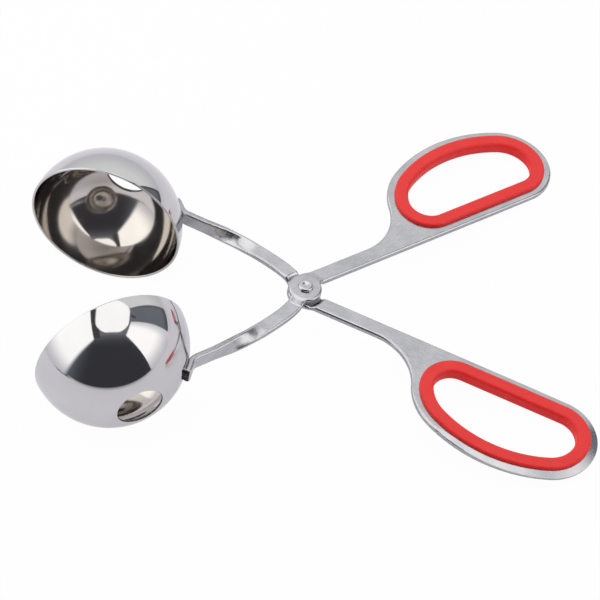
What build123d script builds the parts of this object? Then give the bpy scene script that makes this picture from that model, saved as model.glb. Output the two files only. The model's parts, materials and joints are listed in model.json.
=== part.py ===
from build123d import *
from math import asin, atan, atan2, copysign, cos, degrees, hypot, pi, radians, sin, sqrt, tan
import os

# Driving sizes of the meatball tongs, in millimetres and degrees.
# Each arm is drawn as it stands when the tongs are shut: pivot axis up through the origin,
# handle towards +X and +Y, cup towards -X, and the rim of the cup on the plane y = 0.

# Stamped strap
sheet = 2.5
edge_round = 0.9
shank_width = 6.2
front_width = 5.8
cup_end_width = 6.4

# How far each arm stands from the shut pose, and its shank from the middle line then
open_half_angle = 21.3
shank_angle = 6.26

# Round boss at the pivot: raised out of the strap, so that both arms lie in one plane, with a
# hollow under it that takes the other arm's boss
boss_radius = shank_width
boss_corner_radius = 1.5
arm_gap = 0.1
slope_start = 5.8
slope_run = 2.4
slope_bend_radius = 3.4
foot_bend_radius = 1.4
hollow_gap = 0.5
hollow_run = 1.6
hollow_bend_radius = 0.7
mouth_bend_radius = 1.4

# Rivet
rivet_radius = 1.9
rivet_gap = 0.05
head_radius = 2.9
head_top_radius = 2.5
head_height = 1.3
head_round = 0.9
dimple_radius = 1.4
dimple_depth = 0.3

# Cup: part of a hollow ball, with a release hole at its pole
cup_radius = 28.5
cup_wall = 0.9
cup_reach = 77.0
cup_hole_radius = 8.4
cup_edge_round = 0.35
rim_short = 0.4
rim_gap = 0.3

# Front of the strap: bowed flat, twisted on edge, straight, elbow, and tab on the cup
root_lean = 42.6
root_radius_share = 0.4844
root_turn = 22.6
bow_radius_share = 1.5195
bow_flat_turn = 4.5
bow_twist_turn = 8.3
twist_straight_share = 0.396862
twist_turn = 90.0
twist_ease_share = 0.3
twist_waist = 0.5
twist_sections = 9
elbow_radius = 4.6
tab_sweep = 9.5
tab_corner_radius = 1.4
tab_seat = 0.4

# Handle loop: outline of the grip's lip, anticlockwise from the left of its flat side
loop_start = 65.1
loop_radii = (13.5, 16.5, 51.0, 19.8)
loop_turns = (90.0, 64.7, 52.6, 39.7)
rim_margin = 2.7
margin_slope = 10.0
margin_drop = 0.1
web_radius = 20.0

# Grip ring, with a lip over each face of the strap
grip_wall = 5.2
lip_cover = 1.8
lip_height = 1.4
lip_round = 0.9
bore_round = 1.3

# Overrun of every cutting solid
overrun = 2.0


def heading(angle):
    return Vector(cos(radians(angle)), sin(radians(angle)))


def polar(radius, angle):
    return heading(angle) * radius


# Chains of lines and arcs
def chain(start, angle, pieces, offset=0.0):
    """edges along pieces (length, 0) or (radius, turn), shifted to the left by offset"""
    at = Vector(*start) + polar(offset, angle + 90.0)
    edges = []
    for size, turn in pieces:
        if turn:
            radius = size - offset * copysign(1.0, turn)
            edges.append(JernArc(at, heading(angle), radius, turn))
        else:
            edges.append(Line(at, at + polar(size, angle)))
        at = edges[-1] @ 1
        angle += turn
    return edges


def strip_face(start, angle, pieces, width):
    """flat strip of one width along a chain"""
    left = chain(start, angle, pieces, width / 2)
    right = chain(start, angle, pieces, -width / 2)
    caps = [Line(left[0] @ 0, right[0] @ 0), Line(left[-1] @ 1, right[-1] @ 1)]
    return make_face(left + caps + right)


# Handle loop outline
def loop_pieces():
    """straight side and arcs; the last radius and the straight close the outline"""
    angles = [0.0]
    for turn in loop_turns:
        angles.append(angles[-1] + turn)
    turns = list(loop_turns) + [360.0 - angles[-1]]
    lean = [radians(a) for a in angles + [360.0]]
    rise = sum(r * (cos(lean[i]) - cos(lean[i + 1])) for i, r in enumerate(loop_radii))
    radii = list(loop_radii) + [rise / (cos(lean[-1]) - cos(lean[-2]))]
    flat = sum(r * (sin(lean[i]) - sin(lean[i + 1])) for i, r in enumerate(radii))
    return [(flat, 0.0)] + list(zip(radii, turns))


def loop_face(grow):
    """the loop grown outwards by a distance, in the shank's own axes"""
    return make_face(chain((loop_start, rim_margin), 0.0, loop_pieces(), -grow))


def handle_face():
    """shank and loop, with the curved web in their corner"""
    bar = Pos(loop_start / 2, shank_width / 2) * Rectangle(loop_start, shank_width)
    joined = bar + loop_face(rim_margin)
    web = [v for v in joined.vertices() if abs(v.Y - shank_width) < edge_round and v.X > boss_radius]
    return fillet(web, web_radius)


# Route of the front strap, whose curves grow with the cup's reach; the cup lies on the -Y side
root_radius = cup_reach * root_radius_share
bow_radius = cup_reach * bow_radius_share
root_pieces = [(root_radius, -root_turn), (bow_radius, -bow_flat_turn)]
root_angle = 180.0 + root_lean
twist_angle = root_angle - root_turn - bow_flat_turn
edge_angle = twist_angle - bow_twist_turn
cup_centre = Vector(-cup_reach, rim_short)
tab_radius = cup_radius + sheet / 2 - tab_seat
twist_start = chain((0, 0), root_angle, root_pieces)[-1] @ 1
bow_end = JernArc(twist_start, heading(twist_angle), bow_radius, -bow_twist_turn) @ 1
elbow_side = polar(elbow_radius, edge_angle + 90.0) - cup_centre


def straight_run():
    """length of the straight between the bow and the elbow, so that the tab lies on the ball"""
    reach = bow_end + elbow_side
    ahead = reach.dot(heading(edge_angle))
    meet = tab_radius + elbow_radius
    return -ahead - sqrt(ahead * ahead - reach.dot(reach) + meet * meet)


twist_straight = straight_run() * twist_straight_share
twist_path = Wire(chain(twist_start, twist_angle, [(bow_radius, -bow_twist_turn), (twist_straight, 0.0)]))
twist_end = twist_path @ 1


def flat_face():
    """whole flat part of the arm, from the loop to the start of the twist"""
    boss = Circle(boss_radius)
    front = strip_face((0, 0), root_angle, root_pieces, front_width)
    joined = boss + front + Rot(0, 0, shank_angle) * handle_face()
    smooth = polar(boss_radius, shank_angle + 90.0)
    corners = []
    for vertex in joined.vertices():
        on_boss = abs(hypot(vertex.X, vertex.Y) - boss_radius) < edge_round / 10
        if on_boss and (Vector(*vertex) - smooth).length > edge_round:
            corners.append(vertex)
    return fillet(corners, boss_corner_radius)


def formed_sheet():
    """wide round sheet with the raised boss, to be trimmed to the arm's outline"""
    low = arm_gap / 2
    high = low + sheet
    foot = slope_start + slope_run
    hollow = boss_radius + hollow_gap
    mouth = hollow + hollow_run
    far = cup_reach * 2
    top = [(0, high), (slope_start, high), (foot, sheet / 2), (far, sheet / 2)]
    under = [(0, low), (hollow, low), (mouth, -sheet / 2), (far, -sheet / 2)]
    section = make_face(Polyline(*top, *reversed(under), close=True))
    bends = [(slope_start, slope_bend_radius), (foot, foot_bend_radius),
             (hollow, hollow_bend_radius), (mouth, mouth_bend_radius)]
    for distance, radius in bends:
        corner = section.vertices().sort_by(lambda v: abs(v.X - distance))[0]
        section = fillet(corner, radius)
    return revolve(Plane.XZ * section, Axis.Z)


def rim_edges(blank, ends, tallest):
    """edges that rise less than the tallest on the upright walls, but for the walls at the ends"""
    rims = []
    for wall in blank.faces():
        upright = round(wall.normal_at().Z, 6) == 0
        at_end = min((wall.center() - end).length for end in ends) < edge_round
        if upright and not at_end:
            rims += [edge for edge in wall.edges() if edge.bounding_box().size.Z < tallest]
    return rims


def margin_cut():
    """ring cut off the under side of the loop's margin; its depth fades out towards the web"""
    reach = rim_margin + overrun
    low = -sheet / 2 - margin_drop
    lip = loop_face(-lip_cover / 2)
    wide = loop_face(reach * 2)
    left = lip.bounding_box().min.X
    middle = loop_start + loop_pieces()[0][0] / 2
    tilt = degrees(atan(reach * 2 * tan(radians(margin_slope)) / (middle - left)))
    tilted = Pos(left, 0, low) * Rot(0, -tilt, 0) * Pos(-left, 0, 0) * wide
    levels = [Pos(0, 0, low - overrun * 2) * lip, Pos(0, 0, low) * lip, tilted, Pos(0, 0, sheet * 2) * wide]
    ring = Pos(0, 0, low - overrun) * extrude(loop_face(reach), overrun - low)
    return ring - loft(levels, ruled=True)


def strap_flat():
    """flat part of the arm with rounded edges, its window and its rivet hole"""
    outline = flat_face()
    blank = extrude(outline, sheet * 2, both=True) & formed_sheet()
    rounded = fillet(rim_edges(blank, [twist_start], sheet - edge_round), edge_round)
    window = Rot(0, 0, shank_angle) * extrude(loop_face(-lip_cover), sheet * 2, both=True)
    margin = Rot(0, 0, shank_angle) * margin_cut()
    hole = Cylinder(rivet_radius + rivet_gap, sheet * 4)
    return rounded - window - margin - hole


def strap_twist():
    """quarter turn from flat to on edge"""
    sections = []
    for i in range(twist_sections):
        share = i / (twist_sections - 1)
        eased = share - twist_ease_share * sin(2 * pi * share) / (2 * pi)
        roll = radians(twist_turn) * eased
        ahead = twist_path % share
        across = Vector(ahead.Y, -ahead.X) * cos(roll) + Vector(0, 0, sin(roll))
        width = front_width + (cup_end_width - front_width) * share - twist_waist * sin(pi * share)
        plane = Plane(twist_path @ share, x_dir=across, z_dir=ahead)
        sections.append(plane * RectangleRounded(width, sheet, edge_round))
    return loft(sections)


def edge_pieces():
    """rest of the straight, elbow and tab of the strap standing on edge"""
    elbow = bow_end + elbow_side + heading(edge_angle) * straight_run()
    turn = degrees(atan2(elbow.Y, elbow.X)) - 90.0 + 360.0 - edge_angle
    return [(straight_run() - twist_straight, 0.0), (elbow_radius, turn), (tab_radius, -tab_sweep)]


def strap_edge():
    """part of the strap on edge: it bends outwards and lies along the cup as a tab"""
    route = edge_pieces()
    tip = chain(twist_end, edge_angle, route)[-1] @ 1
    strip = extrude(strip_face(twist_end, edge_angle, route, sheet), cup_end_width / 2, both=True)
    tip_face = strip.faces().sort_by_distance(tip)[0]
    corners = [edge for edge in tip_face.edges() if edge.length < cup_end_width]
    blank = fillet(corners, tab_corner_radius)
    rims = rim_edges(blank, [twist_end, tip], cup_end_width - tab_corner_radius)
    return fillet(rims, edge_round) - Pos(cup_centre) * Sphere(cup_radius)


def arm():
    return strap_flat() + strap_twist() + strap_edge()


# Cup, with its pole along +Z before it is turned to face the other cup
def cup():
    rim = rim_short + rim_gap / 2
    inner = cup_radius - cup_wall
    edges = []
    for radius in (cup_radius, inner):
        start = atan2(rim, sqrt(radius * radius - rim * rim))
        end = atan2(sqrt(radius * radius - cup_hole_radius * cup_hole_radius), cup_hole_radius)
        edges.append(CenterArc((0, 0), radius, degrees(start), degrees(end - start)))
    outer_arc, inner_arc = edges
    caps = [Line(outer_arc @ 0, inner_arc @ 0), Line(outer_arc @ 1, inner_arc @ 1)]
    section = make_face([outer_arc, caps[0], inner_arc, caps[1]])
    shell = revolve(Plane.XZ * fillet(section.vertices(), cup_edge_round), Axis.Z)
    return Pos(cup_centre) * Rot(90, 0, 0) * shell


# Grip ring in the loop
def grip():
    half = sheet / 2
    bore = extrude(loop_face(-grip_wall), half + lip_height + overrun, both=True)
    body = extrude(loop_face(-lip_cover), half, both=True)
    lip = extrude(loop_face(0.0), lip_height)
    ring = body + Pos(0, 0, half) * lip + Pos(0, 0, -half - lip_height) * lip - bore
    for radius, rim in ((lip_round, Face.outer_wire), (bore_round, Face.inner_wires)):
        faces = ring.faces().sort_by(Axis.Z)
        ring = fillet(rim(faces[0]).edges() + rim(faces[-1]).edges(), radius)
    return Rot(0, 0, shank_angle) * ring


# Rivet through both bosses
def rivet():
    top = arm_gap / 2 + sheet
    head = Cone(head_radius, head_top_radius, head_height, align=(Align.CENTER, Align.CENTER, Align.MIN))
    head = fillet(head.edges().sort_by(Axis.Z)[-1], head_round)
    ball = (dimple_radius * dimple_radius + dimple_depth * dimple_depth) / (2 * dimple_depth)
    head = head - Pos(0, 0, head_height - dimple_depth + ball) * Sphere(ball)
    tail = Pos(0, 0, -top - rivet_gap) * Rot(180, 0, 0) * head
    shank = Cylinder(rivet_radius, top * 2 + rivet_gap, align=(Align.CENTER, Align.CENTER, Align.MAX))
    return Pos(0, 0, top) * head + Pos(0, 0, top) * shank + tail


# Lying pose: both cups and the lower lips of both grips touch the table
def lying():
    flat = loop_pieces()[0][0]
    centre = Vector(loop_start + flat, rim_margin + loop_radii[0])
    spread = radians(shank_angle + open_half_angle)
    grip_reach = centre.X * cos(spread) - centre.Y * sin(spread) + loop_radii[0] - lip_round
    half_open = radians(open_half_angle)
    cup_back = cup_reach * cos(half_open) + rim_short * sin(half_open)
    level = sheet / 2 + lip_height - lip_round
    length = grip_reach + cup_back
    tilt = asin((cup_radius - lip_round) / hypot(length, level)) - atan2(level, length)
    return Rot(0, degrees(tilt), 0)


top_side = Rot(0, 0, open_half_angle)
under_side = Rot(0, 0, -open_half_angle) * Rot(180, 0, 0)
one_arm = arm()
one_cup = cup()
one_grip = grip()
pieces = {
    "top_arm": top_side * one_arm,
    "bottom_arm": under_side * one_arm,
    "top_arm_cup": top_side * one_cup,
    "bottom_arm_cup": under_side * one_cup,
    "top_arm_grip": top_side * one_grip,
    "bottom_arm_grip": under_side * one_grip,
    "pivot_rivet": rivet(),
}
lay = lying()
box = Compound([lay * piece for piece in pieces.values()]).bounding_box()
place = Pos(-box.center().X, -box.center().Y, -box.min.Z) * lay

os.makedirs("parts", exist_ok=True)
for name, piece in pieces.items():
    export_step(place * piece, f"parts/{name}.step")
    print(name, round(piece.volume, 1))

pivot = (place * Pos(0, 0, 0)).position
axis = (place * Pos(0, 0, 1)).position - pivot
print("pivot", [round(v, 4) for v in pivot], "axis", [round(v, 6) for v in axis])
print("box", box.size)
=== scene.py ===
# %% [markdown]
# Meatball tongs
#
# This lesson dresses a pair of kitchen tongs that press minced meat into balls. Two flat steel
# arms cross at a rivet. Each arm carries a polished half ball at one end, and at the other a
# finger loop with a red moulded grip. The solids come ready made, with their sizes and their
# joint. The work here is what makes them look real: smooth shading, metal, moulded plastic and the
# light of a studio.

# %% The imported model
import json
import math

import bmesh
import bpy
from mathutils import Matrix, Quaternion, Vector


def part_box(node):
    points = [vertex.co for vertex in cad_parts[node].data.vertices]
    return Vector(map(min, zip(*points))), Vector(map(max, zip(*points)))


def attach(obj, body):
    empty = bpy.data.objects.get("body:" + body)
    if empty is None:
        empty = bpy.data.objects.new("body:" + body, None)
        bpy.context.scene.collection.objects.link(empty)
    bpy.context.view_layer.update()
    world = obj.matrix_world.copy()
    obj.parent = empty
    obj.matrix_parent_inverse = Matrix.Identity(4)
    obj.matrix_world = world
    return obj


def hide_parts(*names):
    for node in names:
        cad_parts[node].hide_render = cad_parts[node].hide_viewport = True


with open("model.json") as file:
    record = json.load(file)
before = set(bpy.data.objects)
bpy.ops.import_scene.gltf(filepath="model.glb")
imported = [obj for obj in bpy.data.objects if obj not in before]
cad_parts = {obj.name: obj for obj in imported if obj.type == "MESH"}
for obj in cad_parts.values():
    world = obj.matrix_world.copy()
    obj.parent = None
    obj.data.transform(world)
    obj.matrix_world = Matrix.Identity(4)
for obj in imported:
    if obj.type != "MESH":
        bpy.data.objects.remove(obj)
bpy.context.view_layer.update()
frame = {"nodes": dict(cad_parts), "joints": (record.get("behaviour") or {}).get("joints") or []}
nodes = frame["nodes"]
joint = frame["joints"][0]
print("nodes:", sorted(nodes))

# %% [markdown]
# Everything on the tongs is placed by one axis, the line through the rivet. It leans a little,
# because the tongs lie on their two round cups and on the lips of their grips. The joint in the
# record gives a point on that axis and its direction. The matrix takes a thing that was drawn with
# this axis upright at the origin, and stands it where the real axis is.

# %% Millimetres and the leaning axis
MM = 0.001
pivot = Vector(joint["pos_m"])
axis = Vector(joint["axis"]).normalized()
axis_lean = math.asin(axis.x)
lying = Matrix.Translation(pivot) @ Matrix.Rotation(axis_lean, 4, "Y")
print("the axis leans by", round(math.degrees(axis_lean), 2), "degrees")

# %% [markdown]
# The camera
#
# The photograph was taken from the front and well above, with a long lens that hardly shows any
# perspective. A camera can be turned with three angles, but it is easier to say where it stands,
# which point it looks at and how far it is rolled: `to_track_quat` makes the turn from a
# direction, and a small rotation about the view axis adds the roll. The lens is given as on film,
# in millimetres, and everything else in metres.

# %% Camera
camera_place = Vector((-41.51, -570.28, 762.13)) * MM
camera_target = Vector((-2.96, -3.90, 17.50)) * MM
camera_roll = math.radians(-0.61)
film_width = 36
focal_length = 155.02
nearest_seen = 0.05

camera = bpy.data.objects.new("camera", bpy.data.cameras.new("camera"))
bpy.context.scene.collection.objects.link(camera)
bpy.context.scene.camera = camera
look = (camera_target - camera_place).to_track_quat("-Z", "Y")
camera.location = camera_place
camera.rotation_mode = "QUATERNION"
camera.rotation_quaternion = look @ Quaternion((0, 0, 1), camera_roll)
camera.data.sensor_width = film_width
camera.data.lens = focal_length
camera.data.clip_start = nearest_seen
print("the camera looks", round(math.degrees(look.to_euler().x), 1), "degrees off straight down")

# %% [markdown]
# The studio
#
# A mirror has no look of its own: it shows the room. The cups on the photograph show a light tent,
# with a white cloth wall on each side, a white roof, a white table and backdrop, and the dark open
# front where the photographer stands. So the room is built first. Lamps would light the tongs too,
# but a mirror shows a lamp as a patch with a hard outline, and cloth fades towards its edges. The
# cloths glow, the open front is a dark card, and none of them is seen by the camera itself, so
# other views stay clear.
#
# Every material is a tree of nodes. One helper adds a node and fills its inputs: an input that is
# given another node's output is linked to it, and any other value is written on the socket.

# %% Node helpers
def new_material(name):
    """an empty node material and its tree"""
    material = bpy.data.materials.new(name)
    material.use_nodes = True
    material.node_tree.nodes.clear()
    return material, material.node_tree


def add_node(tree, kind, inputs=None, **settings):
    """a node with its settings and its inputs, which are given by name or number"""
    node = tree.nodes.new("ShaderNode" + kind)
    for name, value in settings.items():
        setattr(node, name, value)
    for socket, value in (inputs or {}).items():
        if isinstance(value, bpy.types.NodeSocket):
            tree.links.new(value, node.inputs[socket])
        else:
            node.inputs[socket].default_value = value
    return node


def mix_colours(tree, share, first, second):
    """goes from the first colour to the second as the share goes from 0 to 1"""
    mix = add_node(tree, "Mix", {"Factor": share, 6: first, 7: second}, data_type="RGBA")
    return mix.outputs[2]


def shiny_ray(tree, rays):
    """1 for a ray that comes from a mirror or from glass, else 0"""
    kinds = {0: rays.outputs["Is Glossy Ray"], 1: rays.outputs["Is Transmission Ray"]}
    return add_node(tree, "Math", kinds, operation="MAXIMUM").outputs[0]


# %% [markdown]
# Lit cloth is never one even white: it fades towards its edges and its foot. So a sheet carries
# its own UV map, which runs from 0 to 1 across and from 0 to 1 upwards. A Map Range node turns a
# strip along one side into a fade from 0 to 1, and each fade mixes another glow in.

# %% Glowing cloth
def fade(tree, value, width, reverse):
    """rises softly from 0 at an edge to 1 where its strip ends; reversed, from the far edge"""
    start, end = (1.0, 1.0 - width) if reverse else (0.0, width)
    strip = add_node(tree, "MapRange", {"Value": value, "From Min": start, "From Max": end},
                     interpolation_type="SMOOTHSTEP")
    return strip.outputs[0]


def glow(name, colour, edges=()):
    """a sheet that gives off light; edges lists (side, width, colour) of its fading strips"""
    material, tree = new_material(name)
    split = add_node(tree, "SeparateXYZ", {0: add_node(tree, "UVMap").outputs[0]})
    across, up = split.outputs["X"], split.outputs["Y"]
    sides = {"left": (across, False), "right": (across, True), "foot": (up, False), "top": (up, True)}
    last = add_node(tree, "Emission", {"Color": (*colour, 1)}).outputs[0]
    for side, width, edge_colour in edges:
        dim = add_node(tree, "Emission", {"Color": (*edge_colour, 1)})
        strip = fade(tree, sides[side][0], width, sides[side][1])
        last = add_node(tree, "MixShader", {"Fac": strip, 1: dim.outputs[0], 2: last}).outputs[0]
    add_node(tree, "OutputMaterial", {"Surface": last})
    return material


# %% [markdown]
# A wall of the tent is one stretched square. `create_grid` makes the square, a scale gives it
# width and height, a bevel on its corner points rounds them, a shear lets its front edge lean, and
# one more matrix stands it in the room. A wall casts no shadow and hides nothing from the camera;
# it is there for its light and for its reflection.

# %% Tent walls
corner_steps = 10


def stand(x, y, z=0.0, turn=0.0):
    """a place in the room, turned about the upright by degrees"""
    return Matrix.Translation((x, y, z)) @ Matrix.Rotation(math.radians(turn), 4, "Z")


def tent_wall(name, width, height, place, material, lean_share=0.0, rounding=0.0, lights=True):
    """a sheet that stands on its place; lights says whether matt surfaces see it"""
    mesh = bpy.data.meshes.new(name)
    bm = bmesh.new()
    bmesh.ops.create_grid(bm, x_segments=1, y_segments=1, size=0.5)
    bmesh.ops.scale(bm, vec=(width, height, 1), verts=bm.verts)
    bmesh.ops.translate(bm, vec=(0, height / 2, 0), verts=bm.verts)
    if rounding:
        bmesh.ops.bevel(bm, geom=bm.verts[:], offset=rounding, segments=corner_steps, profile=0.5,
                        affect="VERTICES", material=-1)
    chart = bm.loops.layers.uv.new("sheet")
    for face in bm.faces:
        for corner in face.loops:
            corner[chart].uv = (corner.vert.co.x / width + 0.5, corner.vert.co.y / height)
    shear = Matrix.Identity(4)
    shear[0][1] = lean_share
    upright = place @ Matrix.Rotation(math.pi / 2, 4, "X")
    bmesh.ops.transform(bm, matrix=upright @ shear, verts=bm.verts)
    bm.to_mesh(mesh)
    bm.free()
    sheet = bpy.data.objects.new(name, mesh)
    bpy.context.scene.collection.objects.link(sheet)
    mesh.materials.append(material)
    sheet.visible_camera = False
    sheet.visible_shadow = False
    sheet.visible_diffuse = lights
    print(name, "is", width, "m wide and", height, "m high")


# %% [markdown]
# The two side walls are warm white cloth. Their front edges melt into the blue grey of the
# opening, and their feet into the lilac of the table.

# %% Side walls
lilac = (0.78, 0.765, 0.83)
pale_blue = (0.9, 0.9, 0.95)
blue_grey = (0.13, 0.15, 0.18)
left_cloth = glow("left_cloth", (1.55, 1.53, 1.50),
                  [("foot", 0.20, lilac), ("left", 0.08, blue_grey), ("top", 0.02, blue_grey)])
right_cloth = glow("right_cloth", (1.58, 1.55, 1.53),
                   [("foot", 0.28, lilac), ("right", 0.30, pale_blue), ("left", 0.04, blue_grey),
                    ("top", 0.03, blue_grey)])
tent_wall("left_wall", width=0.82, height=0.964, place=stand(-0.414, 0.14, turn=90),
          material=left_cloth, lean_share=-0.2204)
tent_wall("right_wall", width=0.629, height=1.15, place=stand(0.58, -0.17, turn=74.9),
          material=right_cloth, lean_share=-0.11, rounding=0.05)

# %% [markdown]
# Behind the right wall the tent has a grey gap, which both cups show as a dark patch with soft
# ends, and a thin dark line runs along the foot of the left wall.

# %% Grey gap and foot line
near_black = (0.06, 0.06, 0.065)
foot_grey = (0.10, 0.10, 0.11)
gap_grey = glow("gap_grey", (0.19, 0.205, 0.235),
                [("top", 0.12, (0.05, 0.055, 0.06)), ("left", 0.12, near_black),
                 ("foot", 0.10, foot_grey)])
tent_wall("corner_gap", width=0.70, height=1.86, place=stand(1.06, 0.40, 0.06, turn=-69.5),
          material=gap_grey, rounding=0.05, lights=False)
foot_dark = glow("foot_dark", foot_grey, [("left", 0.3, lilac), ("right", 0.3, lilac)])
tent_wall("foot_line", width=0.24, height=0.007, place=stand(-0.405, -0.22, turn=90),
          material=foot_dark, lights=False)

# %% [markdown]
# The open front is a dark card. It is darkest low down and towards the right, where the
# photographer stands, and turns blue grey towards its left side and its top. The card also takes
# its share of light away from all that faces it, so it is the one dark sheet that matt surfaces
# see.

# %% Open front
front_dark = glow("front_dark", (0.050, 0.049, 0.057),
                  [("top", 0.66, (0.21, 0.22, 0.245)), ("left", 0.36, (0.17, 0.19, 0.225))])
tent_wall("front_card", width=1.5, height=1.62, place=stand(-0.08, -0.45), material=front_dark)

# %% [markdown]
# The roof lies flat, so its sheet is laid over with one more quarter turn. It ends a little in
# front of the tongs in a wide round edge. Grey seams lie just above it, at both sides and in front,
# so that past its edge the cups see grey, and then the dark front down to the table.

# %% Roof
laid_flat = Matrix.Rotation(-math.pi / 2, 4, "X")
roof_cloth = glow("roof_cloth", (1.52, 1.50, 1.49),
                  [("left", 0.05, blue_grey), ("right", 0.05, blue_grey), ("foot", 0.06, blue_grey)])
tent_wall("roof", width=0.87, height=0.97, place=stand(0.053, -0.345, 1.03) @ laid_flat,
          material=roof_cloth, lean_share=0.10, rounding=0.41)

# %% Seams of the roof
band_grey = (0.20, 0.21, 0.235)
left_grey = glow("left_grey", (0.07, 0.07, 0.075))
right_grey = glow("right_grey", band_grey, [("top", 0.2, near_black)])
front_grey = glow("front_grey", band_grey)
tent_wall("left_seam", width=0.36, height=0.80, place=stand(-0.44, -0.45, 1.04) @ laid_flat,
          material=left_grey, lights=False)
tent_wall("right_seam", width=0.36, height=0.70, place=stand(0.66, -0.45, 1.16) @ laid_flat,
          material=right_grey, lights=False)
tent_wall("front_seam", width=1.20, height=0.62, place=stand(0.05, -0.46, 1.20) @ laid_flat,
          material=front_grey, lights=False)

# %% [markdown]
# Behind the tongs the tent is closed by a backdrop, far away. At its foot it has the lilac of the
# table, so no horizon shows in the steel. It turns to a pale neutral grey above, and to a cool
# grey at its top, which the flat faces of the arms mirror.

# %% Backdrop
backdrop_cloth = glow("backdrop_cloth", (0.93, 0.935, 0.925),
                      [("foot", 0.32, (0.72, 0.71, 0.755)), ("top", 0.75, (0.885, 0.875, 0.945))])
tent_wall("backdrop", width=9.0, height=5.0, place=stand(0, 2.2), material=backdrop_cloth,
          lights=False)

# %% [markdown]
# The table and the backdrop are white on the photograph, and no shadow shows. More light would
# bleach the tongs too, so the white comes from `Is Camera Ray`: to the camera the table mostly
# glows white, while a small part of it is a plain pale surface that keeps the shadow. In the
# polished steel the table shows as a pale lilac grey, which the same trick gives with
# `Is Glossy Ray`, and it darkens softly towards the foot of the dark front: a spherical gradient,
# stretched by its Mapping node, is that dusk. A second one darkens the spot that the two cups shut
# in between them, where hardly any light falls.

# %% Colours of the table
pure_white = (1, 1, 1, 1)
table_lilac = (0.93, 0.92, 0.975, 1)
table_dusk = (0.16, 0.16, 0.18, 1)
shut_in_brown = (0.10, 0.08, 0.07, 1)


def soft_spot(tree, centre, reach):
    """1 at a centre, falling to 0 at its reach along x and along y"""
    place = add_node(tree, "TexCoord").outputs["Object"]
    stretch = add_node(tree, "Mapping", vector_type="TEXTURE",
                       inputs={"Vector": place, "Location": centre, "Scale": reach})
    core = add_node(tree, "TexGradient", {"Vector": stretch.outputs[0]}, gradient_type="SPHERICAL")
    return core.outputs["Fac"]


table_cover, tree = new_material("table")
dusk_share = soft_spot(tree, centre=(0, -0.47, 0), reach=(0.75, 0.22, 1))
dusk = mix_colours(tree, dusk_share, table_lilac, table_dusk)
shut_in_share = soft_spot(tree, centre=(-0.072, 0, 0), reach=(0.050, 0.036, 1))
shut_in = mix_colours(tree, shut_in_share, dusk, shut_in_brown)
print("in mirrors the table goes from", table_lilac[:3], "to", table_dusk[:3])

# %% Light of the table
camera_glow = 0.97
mirror_glow = 0.45
table_reach = 4.0

rays = add_node(tree, "LightPath")
to_camera = rays.outputs["Is Camera Ray"]
camera_part = add_node(tree, "Math", {0: to_camera, 1: camera_glow}, operation="MULTIPLY").outputs[0]
glow_part = add_node(tree, "Math", {0: shiny_ray(tree, rays), 1: mirror_glow, 2: camera_part},
                     operation="MULTIPLY_ADD").outputs[0]
plain = add_node(tree, "BsdfDiffuse", {"Color": dusk}).outputs[0]
lit = add_node(tree, "Emission", {"Color": mix_colours(tree, to_camera, shut_in, pure_white)}).outputs[0]
cover = add_node(tree, "MixShader", {"Fac": glow_part, 1: plain, 2: lit}).outputs[0]
add_node(tree, "OutputMaterial", {"Surface": cover})

table_mesh = bpy.data.meshes.new("table")
bm = bmesh.new()
bmesh.ops.create_grid(bm, x_segments=8, y_segments=8, size=table_reach)
bm.to_mesh(table_mesh)
bm.free()
table = bpy.data.objects.new("table", table_mesh)
bpy.context.scene.collection.objects.link(table)
table_mesh.materials.append(table_cover)
print("the table reaches", table_reach, "m each way")

# %% [markdown]
# The world is white for the camera and almost white for mirrors, and it fills in the rest of the
# light softly for all that is matt.

# %% World
mirrored_world = (0.93, 0.93, 0.94, 1)
fill_light = (0.62, 0.62, 0.64, 1)

world = bpy.data.worlds.new("backdrop")
bpy.context.scene.world = world
world.use_nodes = True
tree = world.node_tree
tree.nodes.clear()
seen = add_node(tree, "Background", {"Color": pure_white}).outputs[0]
mirrored = add_node(tree, "Background", {"Color": mirrored_world}).outputs[0]
fill = add_node(tree, "Background", {"Color": fill_light}).outputs[0]
rays = add_node(tree, "LightPath")
around = add_node(tree, "MixShader", {"Fac": shiny_ray(tree, rays), 1: fill, 2: mirrored}).outputs[0]
all_rays = add_node(tree, "MixShader", {"Fac": rays.outputs["Is Camera Ray"], 1: around, 2: seen})
add_node(tree, "OutputWorld", {"Surface": all_rays.outputs[0]})

bpy.context.scene.view_settings.view_transform = "Standard"
print("matt surfaces get", fill_light[:3], "from the world, and mirrors", mirrored_world[:3])

# %% [markdown]
# Metals and moulding
#
# No finish here is one flat colour. A pattern, mostly soft noise, moves the colour a little
# between two tints, moves the roughness between two values, and tilts the surface with a faint
# bump. Pictures of steel could do this too, but noise has no seams and is sharp at any distance.
# It reads Object coordinates, in metres, so its scale is large. These helpers add one node each.

# %% Parts of a finish
def object_place(tree):
    """where a point is on the object, in metres"""
    return add_node(tree, "TexCoord").outputs["Object"]


def noise(tree, place, scale, detail):
    """a soft random pattern with values around 0.5"""
    return add_node(tree, "TexNoise", {"Vector": place, "Scale": scale, "Detail": detail}).outputs[0]


def tints(tree, value, levels, colours):
    """goes from one colour to the other as a value goes between two levels"""
    shade = add_node(tree, "ValToRGB", {"Fac": value})
    for stop, level, colour in zip(shade.color_ramp.elements, levels, colours):
        stop.position = level
        stop.color = (*colour, 1)
    return shade.outputs["Color"]


def between(tree, value, levels, results):
    """goes from one number to the other as a value goes between two levels"""
    reach = {"Value": value, "From Min": levels[0], "From Max": levels[1],
             "To Min": results[0], "To Max": results[1]}
    return add_node(tree, "MapRange", reach).outputs[0]


def bump(tree, height, strength, distance):
    """surface directions that a height pattern tilts"""
    lift = {"Height": height, "Strength": strength, "Distance": distance}
    return add_node(tree, "Bump", lift).outputs[0]


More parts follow.
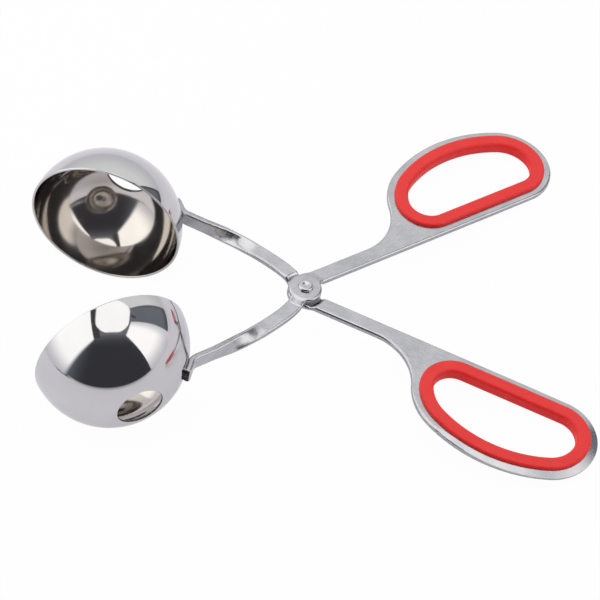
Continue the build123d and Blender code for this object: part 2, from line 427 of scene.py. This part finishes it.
def finish(material, shader):
    """shows a shader on the surface of a material"""
    add_node(material.node_tree, "OutputMaterial", {"Surface": shader.outputs[0]})
    print("made", material.name)
    return material


# %% [markdown]
# All the steel is one kind of metal in the shader, and what tells the pieces apart is how finely
# they are finished. The arms are satin: their roughness is fairly low, and fine grain runs along
# them. A Mapping node stretches the grain along the arm.

# %% Satin steel of the arms
arm_angle = 27.6
grain_stretch = 12.0
grain_share = 0.45


def satin_steel(name, along):
    """steel with a fine grain that runs at the angle along, in degrees"""
    material, tree = new_material(name)
    place = object_place(tree)
    turn = add_node(tree, "Mapping", vector_type="TEXTURE", inputs={
        "Vector": place, "Rotation": (0, 0, math.radians(along)), "Scale": (grain_stretch, 1.0, 1.0)})
    grain = noise(tree, turn.outputs[0], scale=2600.0, detail=4.0)
    cloud = noise(tree, place, scale=110.0, detail=6.0)
    both = add_node(tree, "Mix", {0: grain_share, 2: cloud, 3: grain}, data_type="FLOAT").outputs[0]
    greys = (0.44, 0.445, 0.46), (0.60, 0.60, 0.615)
    return finish(material, add_node(tree, "BsdfPrincipled", {
        "Metallic": 1.0,
        "Base Color": tints(tree, both, levels=(0.34, 0.66), colours=greys),
        "Roughness": between(tree, grain, levels=(0.3, 0.7), results=(0.19, 0.29)),
        "Normal": bump(tree, grain, strength=0.14, distance=0.02 * MM)}))


top_satin = satin_steel("top_satin_steel", arm_angle)
bottom_satin = satin_steel("bottom_satin_steel", -arm_angle)

# %% [markdown]
# Where the die has cut through the strap, the steel is duller and darker than on the rolled faces,
# and at the end of each tab the cut is raw and torn, with a brighter strip on its rounded corner.
# That end face is made almost black, which is painted shade: the shaded table that it mirrors.
# The punched edges of the cups' holes are cut too, and made almost black. All three are the same
# recipe with other values, so one function makes them.

# %% Cut steel, and painted shade on the tab ends
blue_share = 1.03


def cut_and_shaded_steel(name, dark, pale, roughness, torn_scale):
    """steel as a die leaves it, torn between a dark and a pale grey; on the tab ends the dark is painted
    shade
    """
    material, tree = new_material(name)
    torn = noise(tree, object_place(tree), scale=torn_scale, detail=5.0)
    greys = (dark, dark, dark * blue_share), (pale, pale, pale * blue_share)
    return finish(material, add_node(tree, "BsdfPrincipled", {
        "Metallic": 1.0,
        "Base Color": tints(tree, torn, levels=(0.4, 0.62), colours=greys),
        "Roughness": roughness,
        "Normal": bump(tree, torn, strength=0.25, distance=0.05 * MM)}))


cut_side = cut_and_shaded_steel("cut_side_steel", dark=0.38, pale=0.47, roughness=0.28, torn_scale=900.0)
# painted shade: the tab ends are made almost black for the shaded table that they mirror
painted_shade_raw_end = cut_and_shaded_steel("raw_end_steel", dark=0.02, pale=0.09, roughness=0.45, torn_scale=1500.0)
# the punched edges of the holes are made almost black
punched_edge = cut_and_shaded_steel("punched_edge_steel", dark=0.06, pale=0.16, roughness=0.30, torn_scale=900.0)

# %% [markdown]
# The cups are polished until they mirror the room. A perfect mirror looks false, so the roughness
# wanders a little over the ball, and a very faint, wide bump bends the reflections as pressed
# sheet does. The buff reaches the inside less well: there the steel blurs more, and as it mirrors
# itself again and again, even the faintest bump would turn into scribbles. Its colour is also a
# little warmer: a painted reflection of the warm light that the cup bounces within itself.

# %% Mirror steel of the cups
def mirror_steel(name, colours, roughness, wave_height):
    """polished pressed sheet between two tints and two roughnesses"""
    material, tree = new_material(name)
    place = object_place(tree)
    cloud = noise(tree, place, scale=90.0, detail=5.0)
    wave = noise(tree, place, scale=55.0, detail=1.0)
    return finish(material, add_node(tree, "BsdfPrincipled", {
        "Metallic": 1.0,
        "Base Color": tints(tree, cloud, levels=(0.35, 0.65), colours=colours),
        "Roughness": between(tree, cloud, levels=(0.35, 0.65), results=roughness),
        "Normal": bump(tree, wave, strength=0.10, distance=wave_height)}))


outside = mirror_steel("outside_mirror", colours=((0.600, 0.597, 0.600), (0.630, 0.625, 0.625)),
                       roughness=(0.04, 0.08), wave_height=0.08 * MM)
# painted reflection: the warmer tints stand for the warm light the cup bounces within itself
inside = mirror_steel("inside_mirror_painted_warmth", colours=((0.59, 0.557, 0.520), (0.63, 0.597, 0.560)),
                      roughness=(0.07, 0.12), wave_height=0.005 * MM)

# %% [markdown]
# The rivet was turned on a lathe, so its fine marks run in rings about its own axis. The Mapping
# node brings that axis upright to the middle of the pattern, and a wave texture in rings draws the
# marks.

# %% Turned steel of the rivet
ring_scale = 900.0


def turned_steel(name):
    """steel with fine rings about the pivot axis"""
    material, tree = new_material(name)
    centre = add_node(tree, "Mapping", vector_type="TEXTURE", inputs={
        "Vector": object_place(tree), "Location": pivot, "Rotation": (0, axis_lean, 0)})
    rings = add_node(tree, "TexWave", wave_type="RINGS", rings_direction="Z", inputs={
        "Vector": centre.outputs[0], "Scale": ring_scale, "Distortion": 1.0, "Detail": 2.0}).outputs[1]
    return finish(material, add_node(tree, "BsdfPrincipled", {
        "Metallic": 1.0,
        "Base Color": (0.56, 0.56, 0.575, 1),
        "Roughness": between(tree, rings, levels=(0.0, 1.0), results=(0.16, 0.26)),
        "Normal": bump(tree, rings, strength=0.1, distance=0.03 * MM)}))


turned = turned_steel("turned_steel")

# %% [markdown]
# The grips are moulded from a red, slightly soft plastic. Its skin is satin: a broad, weak
# highlight that breaks up in a very fine grain, left by the blasted steel of the mould.

# %% Red moulding of the grips
highlight = 0.32


def red_moulding(name):
    """soft red plastic with a fine moulded skin"""
    material, tree = new_material(name)
    place = object_place(tree)
    cloud = noise(tree, place, scale=120.0, detail=4.0)
    pores = noise(tree, place, scale=3600.0, detail=2.0)
    reds = (0.86, 0.024, 0.021), (0.92, 0.032, 0.028)
    return finish(material, add_node(tree, "BsdfPrincipled", {
        "Specular IOR Level": highlight,
        "Base Color": tints(tree, cloud, levels=(0.3, 0.7), colours=reds),
        "Roughness": between(tree, pores, levels=(0.3, 0.7), results=(0.40, 0.52)),
        "Normal": bump(tree, pores, strength=0.25, distance=0.04 * MM)}))


red = red_moulding("red_grip")

# %% [markdown]
# Stamped arms, grips and rivet
#
# The strap of an arm has three kinds of surface: its rolled faces, the sides that the die cut, and
# the raw end of its tab. At the front the strap makes a quarter turn, so there a side is told from
# a face by a direction that turns with it, slowly at first and at the end. All this is measured on
# an arm as it is drawn, with the tongs shut and the pivot at the origin.

# %% Where the strap was cut
def heading(degrees):
    """a level direction, by its angle"""
    return Vector((math.cos(math.radians(degrees)), math.sin(math.radians(degrees)), 0))


open_half_angle = math.radians(21.3)
twist_from = -21.24 * MM
twist_to = -42.80 * MM
twist_side = heading(100.4)
twist_ease = 0.3
tab_tip = Vector((-56.67, -20.77, 0)) * MM
tab_heading = heading(223.8)
tab_end_depth = 0.6 * MM
end_facing = 0.7
level_side = 0.50
twisted_side = 0.86
print("the strap turns over", round((twist_from - twist_to) / MM, 2), "mm")

# %% Kinds of surface
def half_place(side):
    """stands a thing drawn in the shut pose where its arm is: side is 1 for the top arm, -1 below"""
    flip = Matrix.Rotation(0 if side > 0 else math.pi, 4, "X")
    return lying @ Matrix.Rotation(side * open_half_angle, 4, "Z") @ flip


def cut_kind(centre, normal):
    """0 on the rolled faces of the strap, 1 on its cut sides, 2 on the raw end of its tab"""
    if normal.dot(tab_heading) > end_facing and (centre - tab_tip).dot(tab_heading) > -tab_end_depth:
        return 2
    share = min(max((twist_from - centre.x) / (twist_from - twist_to), 0), 1)
    if share == 0:
        return int(abs(normal.z) < level_side)
    roll = math.pi / 2 * (share - twist_ease * math.sin(2 * math.pi * share) / (2 * math.pi))
    across = twist_side * math.cos(roll) + Vector((0, 0, math.sin(roll)))
    return int(abs(normal.dot(across)) > twisted_side)


# %% [markdown]
# Under its grip the strap is level, and beside the grip's lip its margin slopes away. The slope is
# too gentle for its edge to count as sharp, so the edges between the two are creased by their
# place: they lie on the face that is below as the arm is drawn, and far enough from the pivot.

# %% Kinds and creases of an arm
strap_underside = -1.25 * MM
margin_from = 62 * MM
crease_from = math.radians(3)
same_level = 0.01 * MM


def mark_arm(bm, name, side):
    """sorts the faces of an arm by kind, and creases the edges beside its grip"""
    drawn = half_place(side).inverted()
    for face in bm.faces:
        normal = (drawn.to_3x3() @ face.normal).normalized()
        face.material_index = cut_kind(drawn @ face.calc_center_median(), normal)
    creases = 0
    for edge in bm.edges:
        ends = [drawn @ vert.co for vert in edge.verts]
        low = all(abs(end.z - strap_underside) < same_level and end.length > margin_from for end in ends)
        if low and edge.smooth and edge.calc_face_angle() > crease_from:
            edge.smooth = False
            creases += 1
    kinds = [sum(face.material_index == kind for face in bm.faces) for kind in range(3)]
    print(name, "has", kinds, "rolled, cut and raw faces, and", creases, "creases beside its grip")


# %% [markdown]
# The solids of the arms, grips and rivet already have the right shape. Their meshes are loose
# triangles though, so light breaks at every edge. A copy is merged into one skin, shaded smooth
# where faces meet gently and sharp where they don't, and a Weighted Normal modifier lets the wide
# faces decide the shading, which keeps flat faces flat right up to their rounded edges.

# %% Merged copies of the solids
same_point = 0.002 * MM
smooth_up_to = math.radians(32)


def add_piece(name, mesh, materials):
    """an object of a finished mesh with its materials"""
    piece = bpy.data.objects.new(name, mesh)
    bpy.context.scene.collection.objects.link(piece)
    for material in materials:
        mesh.materials.append(material)
    return piece


def merged_copy(name, node, body, materials, side=0):
    """a smooth-shaded copy of a solid that stands for it; side marks an arm, whose cut faces differ"""
    mesh = bpy.data.meshes.new(name)
    bm = bmesh.new()
    bm.from_mesh(nodes[node].data)
    before = len(bm.verts)
    bmesh.ops.remove_doubles(bm, verts=bm.verts, dist=same_point)
    for face in bm.faces:
        face.smooth = True
    for edge in bm.edges:
        edge.smooth = len(edge.link_faces) == 2 and edge.calc_face_angle() < smooth_up_to
    if side:
        mark_arm(bm, name, side)
    bm.to_mesh(mesh)
    print(name, "merged from", before, "to", len(bm.verts), "points,", len(bm.faces), "triangles")
    bm.free()
    piece = add_piece(name, mesh, materials)
    weighted = piece.modifiers.new("wide_faces_first", "WEIGHTED_NORMAL")
    weighted.keep_sharp = True
    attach(piece, body)
    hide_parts(node)


merged_copy("top_strap", "top_arm", "top_half", [top_satin, cut_side, painted_shade_raw_end],
            side=1)
merged_copy("bottom_strap", "bottom_arm", "bottom_half", [bottom_satin, cut_side, painted_shade_raw_end],
            side=-1)
merged_copy("top_grip_ring", "top_arm_grip", "top_half", [red])
merged_copy("bottom_grip_ring", "bottom_arm_grip", "bottom_half", [red])
merged_copy("rivet_turned", "pivot_rivet", "top_half", [turned])

# %% [markdown]
# Cups
#
# A cup is a half ball pressed from thin sheet, with a round hole at its pole that lets air in and
# the meatball out. In a mirror the smallest facet shows, so the cup isn't a copy of the solid: it
# is turned here as on a lathe. One point is spun about the ball's centre to draw the outer line of
# the section, another one draws the inner line, two short edges close the rim and the hole, and a
# bevel on the four corner points rounds them. A full spin about the ball's axis makes the shell.

# %% Sizes of a cup
cup_radius = 28.5 * MM
cup_wall = 0.9 * MM
hole_radius = 8.4 * MM
edge_round = 0.35 * MM
rim_height = 0.55 * MM
cup_centre = Vector((-77.0, 0.4, 0.0)) * MM
print("a cup is", round(2 * cup_radius / MM, 1), "mm across outside")

# %% Section of a cup
arc_steps = 84
edge_steps = 4


def section_line(bm, radius):
    """an arc of the section, from the rim to the edge of the hole; gives its two ends"""
    start = math.asin(rim_height / radius)
    end = math.acos(hole_radius / radius)
    point = bm.verts.new((radius * math.cos(start), 0, radius * math.sin(start)))
    spun = bmesh.ops.spin(bm, geom=[point], cent=(0, 0, 0), axis=(0, -1, 0), angle=end - start,
                          steps=arc_steps)
    last = [part for part in spun["geom_last"] if isinstance(part, bmesh.types.BMVert)][0]
    return point, last


def cup_section(bm):
    """the closed outline of the sheet, from rim to hole, with rounded corners"""
    outer_rim, outer_hole = section_line(bm, cup_radius)
    inner_rim, inner_hole = section_line(bm, cup_radius - cup_wall)
    bmesh.ops.contextual_create(bm, geom=[outer_rim, inner_rim])
    bmesh.ops.contextual_create(bm, geom=[outer_hole, inner_hole])
    corners = [outer_rim, inner_rim, outer_hole, inner_hole]
    bmesh.ops.bevel(bm, geom=corners, offset=edge_round, segments=edge_steps, profile=0.5,
                    affect="VERTICES", material=-1)


# %% [markdown]
# The shell has three finishes, and the middle of a face tells which one it gets: the edge of the
# hole is raw where the punch went through, the inside is the warm mirror, and the rest is the
# bright one.

# %% Turned shells
spin_steps = 288
same_spun_point = 0.001 * MM
inside_below = cup_radius - cup_wall * 0.8
punched_above = rim_height * 3
punched_within = hole_radius + 0.22 * MM


def cup_kind(middle):
    """0 on the outside of a cup, 1 on its inside, 2 on the punched edge of its hole"""
    if middle.z > punched_above and math.hypot(middle.x, middle.y) < punched_within:
        return 2
    return int(middle.length < inside_below)


def cup_shell(name, node, body, side, materials):
    """the turned cup of one arm: side is 1 for the top arm and -1 for the bottom arm"""
    mesh = bpy.data.meshes.new(name)
    bm = bmesh.new()
    cup_section(bm)
    print(name, "section of", len(bm.verts), "points")
    bmesh.ops.spin(bm, geom=bm.verts[:] + bm.edges[:], cent=(0, 0, 0), axis=(0, 0, 1),
                   angle=2 * math.pi, steps=spin_steps, use_merge=True)
    bmesh.ops.remove_doubles(bm, verts=bm.verts, dist=same_spun_point)
    bmesh.ops.recalc_face_normals(bm, faces=bm.faces)
    for face in bm.faces:
        face.smooth = True
        face.material_index = cup_kind(face.calc_center_median())
    facing = Matrix.Translation(cup_centre) @ Matrix.Rotation(math.pi / 2, 4, "X")
    bmesh.ops.transform(bm, matrix=half_place(side) @ facing, verts=bm.verts)
    bm.to_mesh(mesh)
    bm.free()
    shell = add_piece(name, mesh, materials)
    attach(shell, body)
    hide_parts(node)
    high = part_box(node)[1]
    own = [max(vert.co[i] for vert in mesh.vertices) for i in range(3)]
    print(name, "differs from its solid by", [round((own[i] - high[i]) / MM, 3) for i in range(3)], "mm")


cup_shell("top_cup_shell", "top_arm_cup", "top_half", 1, [outside, inside, punched_edge])
cup_shell("bottom_cup_shell", "bottom_arm_cup", "bottom_half", -1, [outside, inside, punched_edge])
